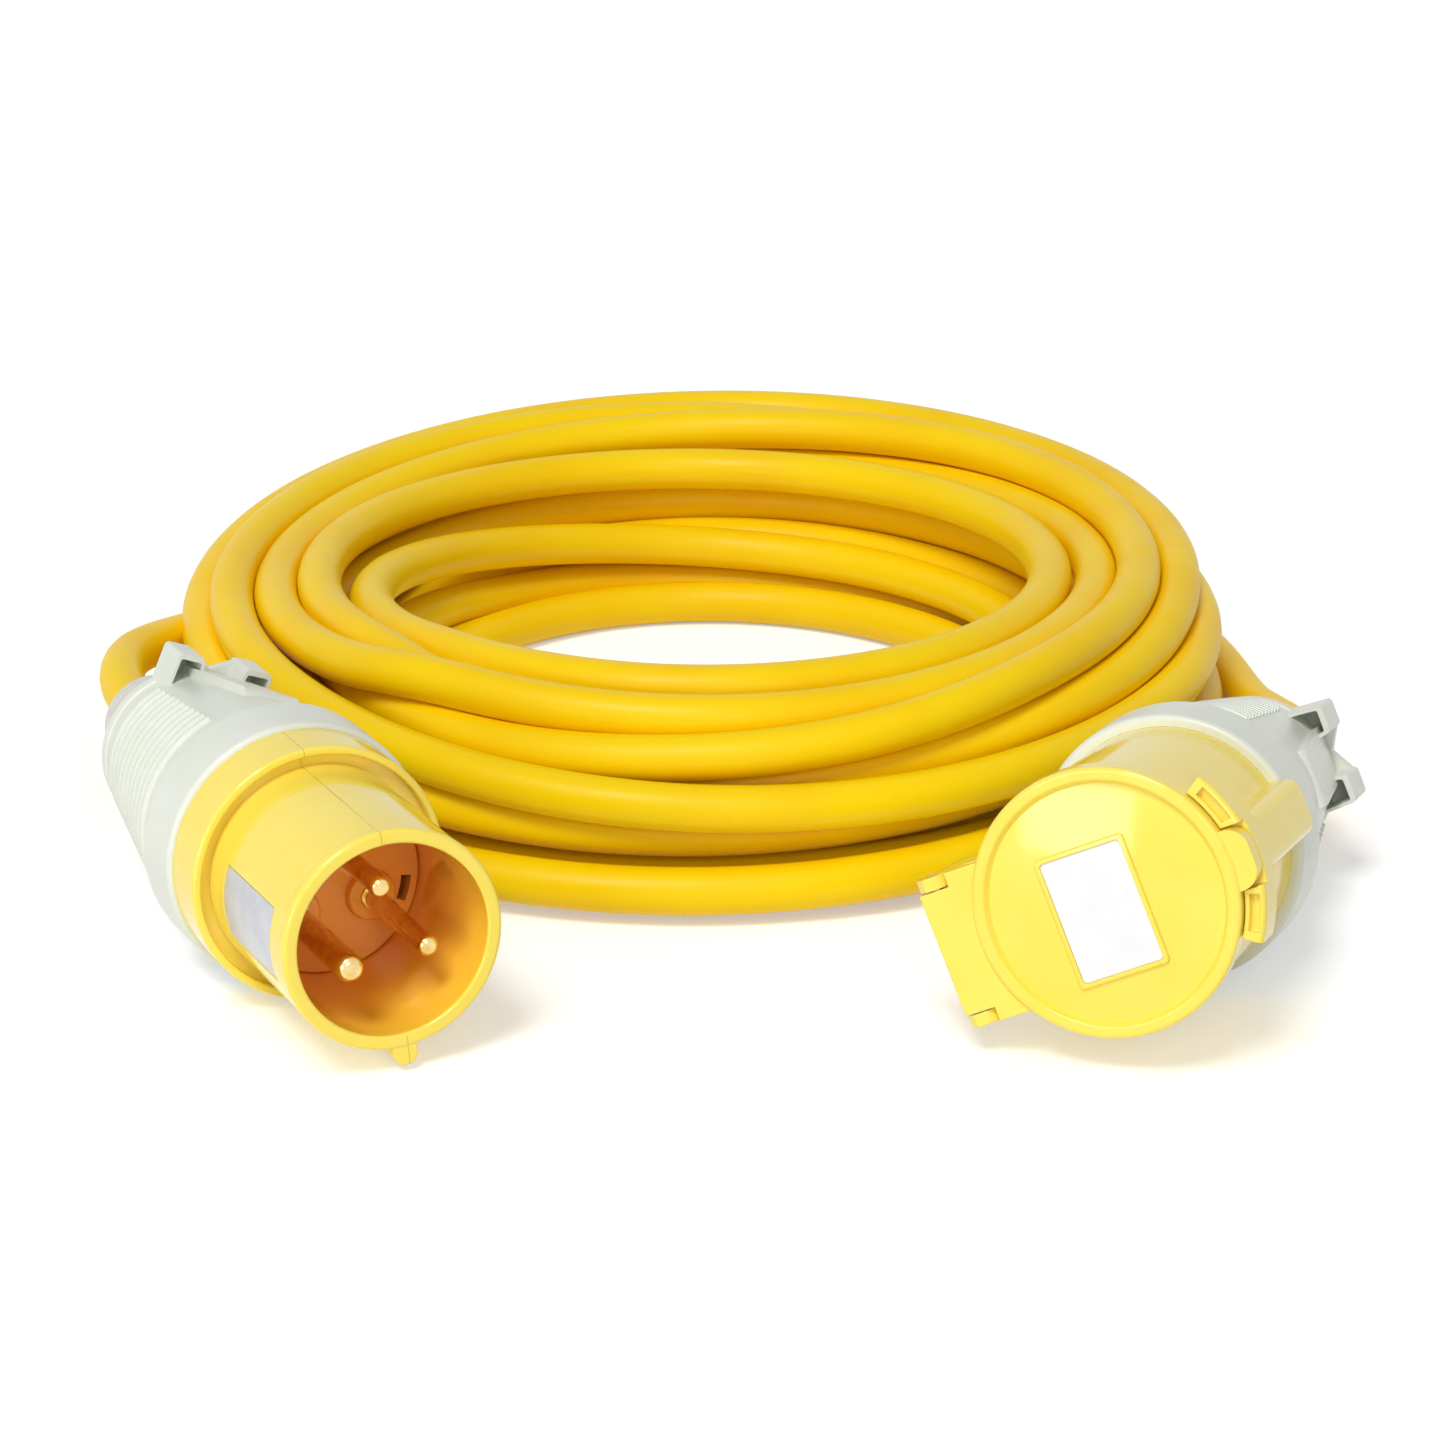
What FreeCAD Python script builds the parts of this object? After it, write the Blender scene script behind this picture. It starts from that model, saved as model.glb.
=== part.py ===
import FreeCAD, Part
import math
import os

os.makedirs("parts", exist_ok=True)

Vector = FreeCAD.Vector
Rotation = FreeCAD.Rotation
Placement = FreeCAD.Placement

# Lengths are in millimetres and angles in degrees.
# The plug and the connector are each drawn along their own X axis, which points the way they mate.
# Their mouth planes are at x = 0. An angle runs from +Y through +Z, as seen by someone who faces the mouth.

# Cable
cable_diameter = 14.5
core_diameter = 4.2
core_spread = 2.5

# Fits between pieces of one end, and between the lid and the fixed pieces
slip_gap = 0.1
glue_gap = 0.05
screw_gap = 0.05
lid_gap = 0.3
side_gap = 0.4

# Contacts: a 2-pole and earth set, one larger earth contact and two equal ones
contact_circle_radius = 13.8
phase_pin_radius = 3.0
earth_pin_radius = 4.0
phase_pin_setback = 5.0
earth_pin_setback = 2.5
pin_collar = 0.5
plug_contact_angles = {"earth": 210, "live": 90, "neutral": 330}
socket_gap = 0.05
socket_wall = 1.6
socket_slit_width = 0.8
socket_slit_length = 24.0
pin_entry_gap = 0.6

# Terminals at the back of each contact
terminal_block_length = 18.0
phase_block_radius = 5.6
earth_block_radius = 6.0
terminal_bore_depth = 11.0
terminal_bore_gap = 0.2
terminal_screw_radius = 1.7
terminal_screw_stand = 1.2
screw_slot_width = 0.8
screw_slot_depth = 0.9

# Plug front
shroud_bore = 28.0
shroud_wall = 3.8
shroud_reach = 58.0
mouth_bead_height = 0.4
mouth_bead_length = 3.0
flange_radius = 38.0
flange_length = 18.0
groove_width = 3.8
groove_depth = 4.0
key_half_width = 3.35
key_tip_radius = 37.5
key_round = 3.1
key_angle = 270
spigot_radius = 34.0
spigot_wall = 3.5
spigot_length = 16.0
carrier_face_depth = 52.0
carrier_seat_depth = 66.3
carrier_flange_thickness = 4.0
boss_height = 3.0
boss_wall = 4.5
vent_slot = (22.5, 25.5, 332, 350)
barrier_thickness = 2.0
barrier_length = 20.0
barrier_margin = 4.0
core_out_wall = 4.0
core_out_margin = 1.2
core_out_rim = 2.0
core_out_sweep = 80
label_recess_depth = 0.8
label_thickness = 0.5
label_margin = 0.3
label_front = 12.0
label_back = 50.0
label_angles = (156, 196)

# Connector front
body_radius = 36.0
body_length = 62.0
socket_bore_gap = 0.4
lip_length = 5.0
wall_bite = 1.3
lip_step = 0.6
socket_depth = 64.5
keyway_gap = 0.55
bulge_half_width = 8.3
bulge_tip_radius = 43.3
bulge_front = 8.0
bulge_round = 4.5
collar_radius = 44.4
collar_half_angle = 33.5
collar_back = 10.0
collar_front = 4.0
pocket_inner_radius = 39.9
pocket_outer_radius = 42.9
pocket_angles = (15.0, 30.0)
pocket_floor = 1.6
collar_round = 1.8
mating_stop_gap = 0.5
contact_carrier_gap = 1.0
carrier_front_wall = 2.0
lightening_hole_radius = 4.0

# Lid and hinge
lid_radius = 38.3
lid_skirt_inner = 36.0
lid_plate_back = 2.3
lid_plate_front = 5.2
lid_rim_front = 7.3
lid_rim_inner = 33.5
lid_seal_inner = 31.5
nose_half_width = 8.7
nose_tip_radius = 44.2
nose_round = 6.0
frame_width = 38.0
frame_height = 27.0
frame_wall = 1.3
frame_rise = 0.9
frame_round = 1.2
frame_centre = (-2.0, 2.2)
lid_label_thickness = 0.5
hinge_x = 1.2
hinge_z = 46.4
hinge_barrel_radius = 4.4
hinge_half_width = 22.0
hinge_ear_width = 3.7
hinge_pin_radius = 1.5
hinge_running_gap = 0.05
hinge_plate_thickness = 2.6
hinge_shoulder_z = 41.5
hinge_web_back = 16.0
hinge_web_thickness = 3.0
spring_half_width = 5.2
spring_wire_radius = 0.5
spring_edge = 0.3
spring_turns = 7
spring_inner_radius = 1.75

# Rear housing, the same on both ends, drawn with its ring front at x = 0 and its ears upward
ring_radius = 39.4
ring_length = 22.0
ring_round = 1.8
cone_front_radius = 36.9
cone_back_radius = 24.6
cone_end = 100.0
rim_radius = 25.3
rim_length = 4.0
housing_wall = 2.9
back_wall = 6.0
joint_seal_width = 1.8
joint_seal_thickness = 2.3
nozzle_radius = 16.0
nozzle_length = 10.0
nozzle_bore = 12.0
grip_rib_count = 11
grip_rib_first = 34.0
grip_rib_pitch = 5.5
grip_rib_width = 2.6
grip_rib_height = 1.3
grip_half_angle = 46
ridge_half_width = 9.0
ridge_height = 1.5
ridge_front = 50.0
ear_length = 14.0
ear_wall = 1.3
ear_outline = [(7.0, 31.5), (15.5, 31.5), (16.5, 12.0), (4.0, 16.0)]
ear_web_dip = 5.0
ear_web_thickness = 3.0
plug_housing_turn = -26
connector_housing_turn = 180

# Cord clamp inside the rear housing
clamp_centre = 67.0
clamp_length = 10.0
clamp_half_width = 17.0
clamp_height = 10.5
clamp_split = 0.6
clamp_screw_spacing = 25.0
clamp_screw_radius = 2.0
clamp_head_radius = 3.6
clamp_head_height = 2.4
clamp_head_sink = 5.5
sheath_reach = 52.0

# Gland nut
nut_front_radius = 23.8
nut_back_radius = 15.0
nut_end = 132.0
nut_cable_gap = 0.35
nut_lip = 3.0
nut_wall = 5.0

# Poses of the two ends, and the route of the cord between them
plug_mouth = (-90.9, -91.05)
plug_yaw = -65
plug_roll = 5
connector_mouth = (106.2, -81.95)
connector_yaw = -110
connector_pitch = 6.5
connector_roll = 115
cord_exit_run = 18.0
plug_tail_points = [(-192, 133, 39.8), (-194, 151, 39.6), (-193, 168, 38.5), (-189, 184, 36.5),
                    (-182, 199, 34.5)]
connector_tail_points = [(183, 134.5, 21.5), (184.5, 153, 17.5), (183, 171, 14), (179.5, 188, 11.5),
                         (175, 205, 10), (169.5, 221, 9.5)]

# Coil: a pile of hand-laid turns on a base oval. Each turn is placed at the front, left, back and right of
# the oval, by how far it lies outward of the oval and how high its middle is.
coil_centre = (-7.9, 200.55)
coil_half_width = 139.0
coil_half_depth = 156.5
coil_turns = [
    ((0, 0), (14, 29), (36, 47), (27, 41)),
    ((12, 29), (15, 51), (33, 63), (8, 43)),
    ((0, 19), (26, 43), (48, 63), (18, 55)),
    ((-11, 33), (-5, 34), (21, 46), (-10, 57)),
    ((-12, 51), (1, 48), (14, 60), (2, 57)),
    ((1, 41), (-18, 35), (11, 35), (-12, 42)),
    ((-25, 44), (-10, 56), (-6, 49), (-26, 56)),
    ((-28, 59), (-31, 51), (-20, 21), (-21, 22)),
    ((-54, 8), (-28, 8), (-28, 7), (-28, 7)),
    ((-45, 20), (-20, 20), (-13, 9), (-14, 8)),
    ((-39, 7), (-13, 8), (-4, 28), (-6, 20)),
    ((-33, 29), (-5, 20), (2, 8), (1, 8)),
    ((-24, 7), (2, 8), (16, 10), (8, 20)),
    ((-20, 21), (9, 20), (24, 22), (15, 8)),
    ((-9, 7), (16, 8), (31, 8), (26, 20)),
    ((16, 7), (36, 19), (50, 12), (41, 10)),
]
coil_first_turn = 0.31
coil_last_turn = 15.733
turn_sway = 0.35
coil_margin = 2.0
coil_stations = 48
coil_faces = 12

# Sizes that follow from those above
cable_radius = cable_diameter / 2
core_radius = core_diameter / 2
shroud_radius = shroud_bore + shroud_wall
groove_radius = shroud_radius + groove_width
plug_ring_x = -(shroud_reach + flange_length)
spigot_inner = spigot_radius - spigot_wall
connector_ring_x = -body_length
socket_bore = shroud_radius + mouth_bead_height + socket_bore_gap
contact_carrier_radius = shroud_bore - contact_carrier_gap
contact_carrier_recess = (shroud_reach + groove_depth) - carrier_face_depth + mating_stop_gap
plug_pin_setbacks = {"earth": earth_pin_setback, "live": phase_pin_setback, "neutral": phase_pin_setback}
contact_radii = {"earth": earth_pin_radius, "live": phase_pin_radius, "neutral": phase_pin_radius}
block_radii = {"earth": earth_block_radius, "live": phase_block_radius, "neutral": phase_block_radius}
connector_contact_angles = {name: 180 - angle for name, angle in plug_contact_angles.items()}
barrier_angles = [angle + 60 for angle in plug_contact_angles.values()]
hinge_barrel_half = hinge_half_width - hinge_ear_width - side_gap
pitch_cosine = math.cos(math.radians(connector_pitch))
pitch_sine = math.sin(math.radians(connector_pitch))
ring_back = body_length + ring_length
connector_height = ((ring_radius - ring_round) * pitch_cosine + ring_round
                    + (ring_back - ring_round) * pitch_sine)


# Drawing helpers

def rounded_wire(corners, place):
    """Closed wire through corners (u, v) or (u, v, round); a round is a tangent arc."""
    spots = [place(corner[0], corner[1]) for corner in corners]
    trims = []
    for index, corner in enumerate(corners):
        spot = spots[index]
        size = corner[2] if len(corner) > 2 else 0
        if size == 0:
            trims.append((spot, None, spot))
            continue
        back = (spots[index - 1] - spot).normalize()
        ahead = (spots[(index + 1) % len(spots)] - spot).normalize()
        half = back.getAngle(ahead) / 2
        reach = size / math.tan(half)
        inward = (back + ahead).normalize()
        middle = spot + inward * (size / math.sin(half) - size)
        trims.append((spot + back * reach, middle, spot + ahead * reach))
    edges = []
    for index, (start, middle, end) in enumerate(trims):
        if middle is not None:
            edges.append(Part.Arc(start, middle, end).toShape())
        following = trims[(index + 1) % len(trims)][0]
        if end.distanceToPoint(following) > 1e-6:
            edges.append(Part.LineSegment(end, following).toShape())
    return Part.Wire(edges)


def turned(corners, sweep=360, start=0):
    """Solid of revolution about X from an outline of (x, radius) corners."""
    wire = rounded_wire(corners, lambda x, radius: Vector(x, radius, 0))
    solid = Part.Face(wire).revolve(Vector(0, 0, 0), Vector(1, 0, 0), sweep)
    solid.rotate(Vector(0, 0, 0), Vector(1, 0, 0), start)
    return solid


def ring(back, front, inner, outer, sweep=360, start=0):
    """Plain ring, or a sector of one, between two planes."""
    return turned([(back, inner), (back, outer), (front, outer), (front, inner)], sweep, start)


def prism(corners, back, front):
    """Outline of (y, z) corners, extruded along X."""
    wire = rounded_wire(corners, lambda y, z: Vector(back, y, z))
    return Part.Face(wire).extrude(Vector(front - back, 0, 0))


def side_plate(corners, left, right):
    """Outline of (x, z) corners, extruded along Y."""
    wire = rounded_wire(corners, lambda x, z: Vector(x, left, z))
    return Part.Face(wire).extrude(Vector(0, right - left, 0))


def rod(back, front, radius, y=0, z=0):
    return Part.makeCylinder(radius, front - back, Vector(back, y, z), Vector(1, 0, 0))


def block(back, front, left, right, low, high):
    return Part.makeBox(front - back, right - left, high - low, Vector(back, left, low))


def on_circle(radius, angle):
    return radius * math.cos(math.radians(angle)), radius * math.sin(math.radians(angle))


def swung(shape, angle):
    """Turn a shape that is drawn toward +Z so that it lies at the given angle."""
    result = shape.copy()
    result.rotate(Vector(0, 0, 0), Vector(1, 0, 0), angle - 90)
    return result


def tube_along(points, radius, name):
    """Round tube on straight runs joined by tangent arcs as large as the runs allow."""
    spots = [Vector(*point) for point in points]
    edges = []
    radii = []
    start = spots[0]
    for index in range(1, len(spots) - 1):
        spot = spots[index]
        back = spots[index - 1] - spot
        ahead = spots[index + 1] - spot
        reach = 0.45 * min(back.Length, ahead.Length)
        back.normalize()
        ahead.normalize()
        half = back.getAngle(ahead) / 2
        arc_radius = reach * math.tan(half)
        inward = (back + ahead).normalize()
        middle = spot + inward * (arc_radius / math.sin(half) - arc_radius)
        edges.append(Part.LineSegment(start, spot + back * reach).toShape())
        edges.append(Part.Arc(spot + back * reach, middle, spot + ahead * reach).toShape())
        start = spot + ahead * reach
        radii.append(round(arc_radius, 1))
    edges.append(Part.LineSegment(start, spots[-1]).toShape())
    path = Part.Wire(edges)
    section = Part.Wire(Part.makeCircle(radius, spots[0], spots[1] - spots[0]))
    tube = path.makePipeShell([section], True, False)
    full = math.pi * radius ** 2 * path.Length
    print(name, "bend radii", radii, "length", round(path.Length, 1),
          "volume ratio", round(tube.Volume / full, 4))
    return tube


# Pieces that both ends share

def contact_terminal(block_front, block_radius):
    """Cylindrical terminal block on the X axis, with its wire bore and screw hole toward +Z."""
    back = block_front - terminal_block_length
    body = turned([(back, 0), (back, block_radius, 0.6), (block_front, block_radius, 0.6), (block_front, 0)])
    wire_bore = rod(back, back + terminal_bore_depth, core_radius + terminal_bore_gap)
    screw_hole = Part.makeCylinder(terminal_screw_radius + screw_gap, block_radius,
                                   Vector(back + terminal_bore_depth / 2, 0, 0), Vector(0, 0, 1))
    return body.cut(wire_bore).cut(screw_hole)


def terminal_screws(block_front, angles):
    """Slotted grub screws, one above the wire in each terminal."""
    x = block_front - terminal_block_length + terminal_bore_depth / 2
    screws = []
    for name, angle in angles.items():
        foot = contact_circle_radius + core_radius + screw_gap
        head = contact_circle_radius + block_radii[name] + terminal_screw_stand
        screw = Part.makeCylinder(terminal_screw_radius, head - foot, Vector(x, 0, foot), Vector(0, 0, 1))
        slot = block(x - terminal_screw_radius, x + terminal_screw_radius, -screw_slot_width / 2,
                     screw_slot_width / 2, head - screw_slot_depth, head)
        screws.append(swung(screw.cut(slot), angle))
    return Part.makeCompound(screws)


def set_on_circle(shape, angle):
    """Carry a piece drawn on the X axis out to the contact circle."""
    result = shape.copy()
    result.translate(Vector(0, 0, contact_circle_radius))
    return swung(result, angle)


def core_wire(block_front, sheath_x, angle, name):
    """Insulated core from the end of the sheath into its terminal."""
    terminal_x = block_front - terminal_block_length
    end_x = terminal_x + terminal_bore_depth - 1
    span = terminal_x - sheath_x
    route = [(sheath_x, core_spread), (sheath_x + 0.2 * span, core_spread),
             (terminal_x - 0.2 * span, contact_circle_radius), (end_x, contact_circle_radius)]
    points = []
    for x, radius in route:
        y, z = on_circle(radius, angle)
        points.append((x, y, z))
    return tube_along(points, core_radius, name)


def barriers(front):
    """Walls behind a carrier that keep the three terminals apart."""
    wall = block(front - barrier_length, front, -barrier_thickness / 2, barrier_thickness / 2,
                 0, spigot_inner - barrier_margin)
    walls = [swung(wall, angle) for angle in barrier_angles]
    return walls[0].fuse(walls[1:])


def cone_radius(x):
    """Outer radius of the rear housing's cone."""
    share = (-x - ring_length) / (cone_end - ring_length)
    return cone_front_radius + share * (cone_back_radius - cone_front_radius)


def grip_ribs(centre_angle):
    """Fine ribs across one side of the cone, cut as one comb and swept part of the way round."""
    comb = []
    for index in range(grip_rib_count):
        x = -(grip_rib_first + index * grip_rib_pitch)
        foot = cone_radius(x) - 0.3
        half = grip_rib_width / 2
        comb += [(x + half, foot), (x + half * 0.4, cone_radius(x) + grip_rib_height),
                 (x - half * 0.4, cone_radius(x) + grip_rib_height), (x - half, foot)]
    sunk = housing_wall / 2
    comb.append((comb[-1][0], cone_radius(comb[-1][0]) - sunk))
    comb.append((comb[0][0], cone_radius(comb[0][0]) - sunk))
    return turned(comb, 2 * grip_half_angle, centre_angle - grip_half_angle)


def ear(side):
    """Thin-walled hollow ear at the rear rim, open to the front."""
    corners = [(side * y, z, 1.5) for y, z in ear_outline]
    back = -(cone_end + rim_length)
    front = back + ear_length
    shell = prism(corners, back, front)
    centre = Vector(0, sum(c[0] for c in corners) / 4, sum(c[1] for c in corners) / 4)
    hollow_corners = []
    for y, z, size in corners:
        inward = Vector(0, y, z) - centre
        shorter = inward * (1 - ear_wall * 1.5 / inward.Length) + centre
        hollow_corners.append((shorter.y, shorter.z, 0.8))
    hollow = prism(hollow_corners, back + ear_wall, front)
    around_cone = turned([(back, 0), (back, rim_radius), (front, cone_radius(front) + 0.1), (front, 0)])
    return shell.cut(hollow.cut(around_cone))


def rear_housing():
    """Ring, ribbed cone, ears, rim, gland nozzle and the seat of the cord clamp."""
    end = -(cone_end + rim_length)
    outside = turned([(0, 0), (0, ring_radius, ring_round), (-ring_length, ring_radius, ring_round),
                      (-ring_length, cone_front_radius), (-cone_end, cone_back_radius),
                      (-cone_end, rim_radius, 0.5), (end, rim_radius, 0.8),
                      (end, nozzle_radius), (end - nozzle_length, nozzle_radius, 0.8),
                      (end - nozzle_length, 0)])
    ridge_top = [(-ridge_front, cone_radius(-ridge_front) + ridge_height, 3),
                 (-cone_end, cone_radius(-cone_end) + ridge_height)]
    ridge = side_plate(ridge_top + [(-cone_end, cone_back_radius / 2), (-ridge_front, cone_front_radius / 2)],
                       -ridge_half_width, ridge_half_width)
    tip_y, tip_z = ear_outline[0]
    web = prism([(-tip_y, tip_z - 1), (0, tip_z - ear_web_dip), (tip_y, tip_z - 1), (tip_y, nozzle_radius),
                 (-tip_y, nozzle_radius)], end, end + ear_web_thickness)
    solid = outside.fuse([ridge, web, ear(1), ear(-1), grip_ribs(0), grip_ribs(180)])
    seal_seat = spigot_radius + joint_seal_width + slip_gap * 2
    spigot_bore = spigot_radius + slip_gap
    bore_end = -(spigot_length + 1)
    inner_end = -(cone_end + rim_length - back_wall)
    inside = turned([(0, 0), (0, seal_seat), (-joint_seal_thickness - slip_gap, seal_seat),
                     (-joint_seal_thickness - slip_gap, spigot_bore), (bore_end, spigot_bore),
                     (inner_end, cone_radius(inner_end) - housing_wall),
                     (inner_end, nozzle_bore), (end - nozzle_length, nozzle_bore), (end - nozzle_length, 0)])
    return solid.cut(inside).fuse(clamp_seat(inside)).removeSplitter()


def clamp_seat(inside):
    """Half of the cord clamp that is moulded into the housing."""
    back = -(clamp_centre + clamp_length / 2)
    front = back + clamp_length
    seat = block(back, front, -clamp_half_width, clamp_half_width, -ring_radius, -clamp_split)
    envelope = turned([(back, 0), (back, cone_radius(back) - 1), (front, cone_radius(front) - 1), (front, 0)])
    seat = seat.common(envelope)
    seat = seat.cut(rod(back, front, cable_radius + glue_gap))
    for side in (-1, 1):
        hole = Part.makeCylinder(clamp_screw_radius + screw_gap, clamp_height,
                                 Vector(-clamp_centre, side * clamp_screw_spacing / 2, -clamp_height),
                                 Vector(0, 0, 1))
        seat = seat.cut(hole)
    return seat


def cord_clamp():
    """Saddle bar that is screwed down on the sheath."""
    back = -(clamp_centre + clamp_length / 2)
    front = back + clamp_length
    crown = clamp_split + clamp_height
    corners = [(-clamp_half_width, clamp_split, 0.5), (clamp_half_width, clamp_split, 0.5),
               (clamp_half_width, crown - 3.5, 2), (cable_radius + 1, crown, 2),
               (-cable_radius - 1, crown, 2), (-clamp_half_width, crown - 3.5, 2)]
    bar = prism(corners, back, front).cut(rod(back, front, cable_radius + glue_gap))
    for side in (-1, 1):
        y = side * clamp_screw_spacing / 2
        bar = bar.cut(Part.makeCylinder(clamp_screw_radius + 2 * screw_gap, crown,
                                        Vector(-clamp_centre, y, 0), Vector(0, 0, 1)))
        bar = bar.cut(Part.makeCylinder(clamp_head_radius + slip_gap, crown,
                                        Vector(-clamp_centre, y, clamp_screw_seat()), Vector(0, 0, 1)))
    return bar


def clamp_screw_seat():
    """Height of the face under the clamp's screw heads."""
    return clamp_split + clamp_height - clamp_head_sink


def clamp_screws():
    """Two slotted pan-head screws."""
    screws = []
    seat = clamp_screw_seat()
    foot = -clamp_height + 1
    for side in (-1, 1):
        y = side * clamp_screw_spacing / 2
        shank = Part.makeCylinder(clamp_screw_radius, seat - foot, Vector(-clamp_centre, y, foot),
                                  Vector(0, 0, 1))
        head = Part.makeCylinder(clamp_head_radius, clamp_head_height, Vector(-clamp_centre, y, seat),
                                 Vector(0, 0, 1))
        top = seat + clamp_head_height
        slot = block(-clamp_centre - clamp_head_radius, -clamp_centre + clamp_head_radius,
                     y - screw_slot_width / 2, y + screw_slot_width / 2, top - screw_slot_depth, top)
        screws.append(shank.fuse(head).cut(slot))
    return Part.makeCompound(screws)


def joint_seal():
    return ring(-joint_seal_thickness, -glue_gap, spigot_radius + glue_gap, spigot_radius + joint_seal_width)


def gland_seal():
    end = -(cone_end + rim_length)
    return ring(end - nozzle_length + slip_gap, end + back_wall, cable_radius + slip_gap,
                nozzle_bore - slip_gap)


def gland_nut():
    """Tapered nut round the nozzle, hollow inside, with a lip close round the cable."""
    front = -(cone_end + rim_length)
    shoulder = front - nozzle_length - slip_gap
    hole = cable_radius + nut_cable_gap
    seat = nozzle_radius + slip_gap
    corners = [(front, seat), (front, nut_front_radius, 1.2), (-nut_end, nut_back_radius, 1.5),
               (-nut_end, hole), (-nut_end + nut_lip, hole), (-nut_end + nut_lip, nut_back_radius - nut_wall),
               (shoulder, nozzle_bore - slip_gap), (shoulder, seat)]
    return turned(corners)


def rear_set(prefix, ring_x, turn):
    """Everything behind the ring front of one end, in that end's own frame."""
    pieces = {
        prefix + "_rear_housing": rear_housing(),
        prefix + "_joint_seal": joint_seal(),
        prefix + "_gland_seal": gland_seal(),
        prefix + "_gland_nut": gland_nut(),
        prefix + "_cord_clamp": cord_clamp(),
        prefix + "_clamp_screws": clamp_screws(),
        prefix + "_sheath_end": rod(-nut_end, -sheath_reach, cable_radius),
    }
    for shape in pieces.values():
        shape.rotate(Vector(0, 0, 0), Vector(1, 0, 0), turn)
        shape.translate(Vector(ring_x, 0, 0))
    return pieces


# Plug

def plug_shroud():
    """Front body: shroud with its key, flange with the sealing groove, and the spigot behind it."""
    flange_x = -shroud_reach
    groove_x = -(shroud_reach + groove_depth)
    spigot_x = plug_ring_x - spigot_length
    bead = shroud_radius + mouth_bead_height
    body = turned([(0, shroud_bore, 0.8), (0, bead, 1.2), (-mouth_bead_length, bead, 0.3),
                   (-mouth_bead_length - 1, shroud_radius), (groove_x, shroud_radius),
                   (groove_x, groove_radius), (flange_x, groove_radius, 0.5),
                   (flange_x, flange_radius, 0.9), (plug_ring_x, flange_radius, 0.9),
                   (plug_ring_x, spigot_radius), (spigot_x, spigot_radius, 0.8), (spigot_x, spigot_inner),
                   (-carrier_seat_depth, spigot_inner), (-carrier_seat_depth, shroud_bore)])
    root = shroud_radius - shroud_wall / 2
    key = prism([(-key_half_width, root), (key_half_width, root), (key_half_width, key_tip_radius, key_round),
                 (-key_half_width, key_tip_radius, key_round)], groove_x, -0.4)
    recess_start, recess_end = label_angles
    recess = ring(-label_back, -label_front, shroud_radius - label_recess_depth, shroud_radius + 1,
                  recess_end - recess_start, recess_start)
    return body.fuse(swung(key, key_angle)).cut(recess)


def plug_label():
    """Plate in the recess on the side of the shroud."""
    inner = shroud_radius - label_recess_depth + glue_gap
    start, end = label_angles
    inset = math.degrees(label_margin / shroud_radius)
    return ring(-label_back + label_margin, -label_front - label_margin, inner, inner + label_thickness,
                end - start - 2 * inset, start + inset)


def plug_pin_carrier():
    """Moulded floor of the shroud with a boss round each pin and barriers behind."""
    face = -carrier_face_depth
    seat = -carrier_seat_depth
    back = seat - carrier_flange_thickness
    radius = shroud_bore - 2 * slip_gap
    flange = spigot_inner - 2 * slip_gap
    boss_top = face + boss_height
    body = turned([(face, 0), (face, radius, 0.5), (seat, radius), (seat, flange), (back, flange, 0.5),
                   (back, 0)])
    for name, angle in plug_contact_angles.items():
        boss_radius = contact_radii[name] + boss_wall
        boss = turned([(face - 1, 0), (face - 1, boss_radius), (boss_top, boss_radius - 0.4, 0.8),
                       (boss_top, 0)])
        body = body.fuse(set_on_circle(boss, angle))
    body = body.fuse(barriers(back))
    core_out_inner = contact_circle_radius + earth_block_radius + core_out_margin
    for name, angle in plug_contact_angles.items():
        hole = rod(back - 1, boss_top + 1, contact_radii[name] + pin_collar + glue_gap)
        block_room = rod(back - barrier_length, back, block_radii[name] + slip_gap)
        body = body.cut(set_on_circle(hole, angle)).cut(set_on_circle(block_room, angle))
        core_out = ring(back, face - core_out_wall, core_out_inner, radius - core_out_rim,
                        core_out_sweep, angle - core_out_sweep / 2)
        body = body.cut(core_out)
    inner, outer, start, end = vent_slot
    return body.cut(ring(face - core_out_wall - 1, face, inner, outer, end - start, start))


def plug_pin(name):
    """Solid pin with a domed tip, a collar pressed into the carrier and a terminal block."""
    radius = contact_radii[name]
    tip = -plug_pin_setbacks[name]
    collar_front = -carrier_face_depth + boss_height + pin_collar
    block_front = -(carrier_seat_depth + carrier_flange_thickness)
    shoulder = radius + pin_collar
    shank = turned([(tip, 0), (tip, radius, radius * 0.7), (collar_front, radius), (collar_front, shoulder),
                    (block_front - 1, shoulder), (block_front - 1, 0)])
    pin = shank.fuse(contact_terminal(block_front, block_radii[name]))
    return set_on_circle(pin, plug_contact_angles[name])


def plug_pieces():
    block_front = -(carrier_seat_depth + carrier_flange_thickness)
    pieces = {
        "plug_shroud": plug_shroud(),
        "plug_label": plug_label(),
        "plug_pin_carrier": plug_pin_carrier(),
        "plug_terminal_screws": terminal_screws(block_front, plug_contact_angles),
    }
    for name, angle in plug_contact_angles.items():
        pieces["plug_" + name + "_pin"] = plug_pin(name)
        pieces["plug_" + name + "_core"] = core_wire(block_front, plug_ring_x - sheath_reach, angle,
                                                     "plug_" + name + "_core")
    pieces.update(rear_set("plug", plug_ring_x, plug_housing_turn))
    return pieces


# Connector

def hinge_eye(left, right):
    """Boss round the hinge pin: round at the back, with flat faces to the front and the outside."""
    flat = hinge_barrel_radius * math.tan(math.pi / 8)
    front = hinge_x + hinge_barrel_radius
    top = hinge_z + hinge_barrel_radius
    round_boss = Part.makeCylinder(hinge_barrel_radius, right - left, Vector(hinge_x, left, hinge_z),
                                   Vector(0, 1, 0))
    flats = side_plate([(hinge_x, hinge_z), (front, hinge_z), (front, hinge_z + flat), (hinge_x + flat, top),
                        (hinge_x, top)], left, right)
    return round_boss.fuse(flats)


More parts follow.
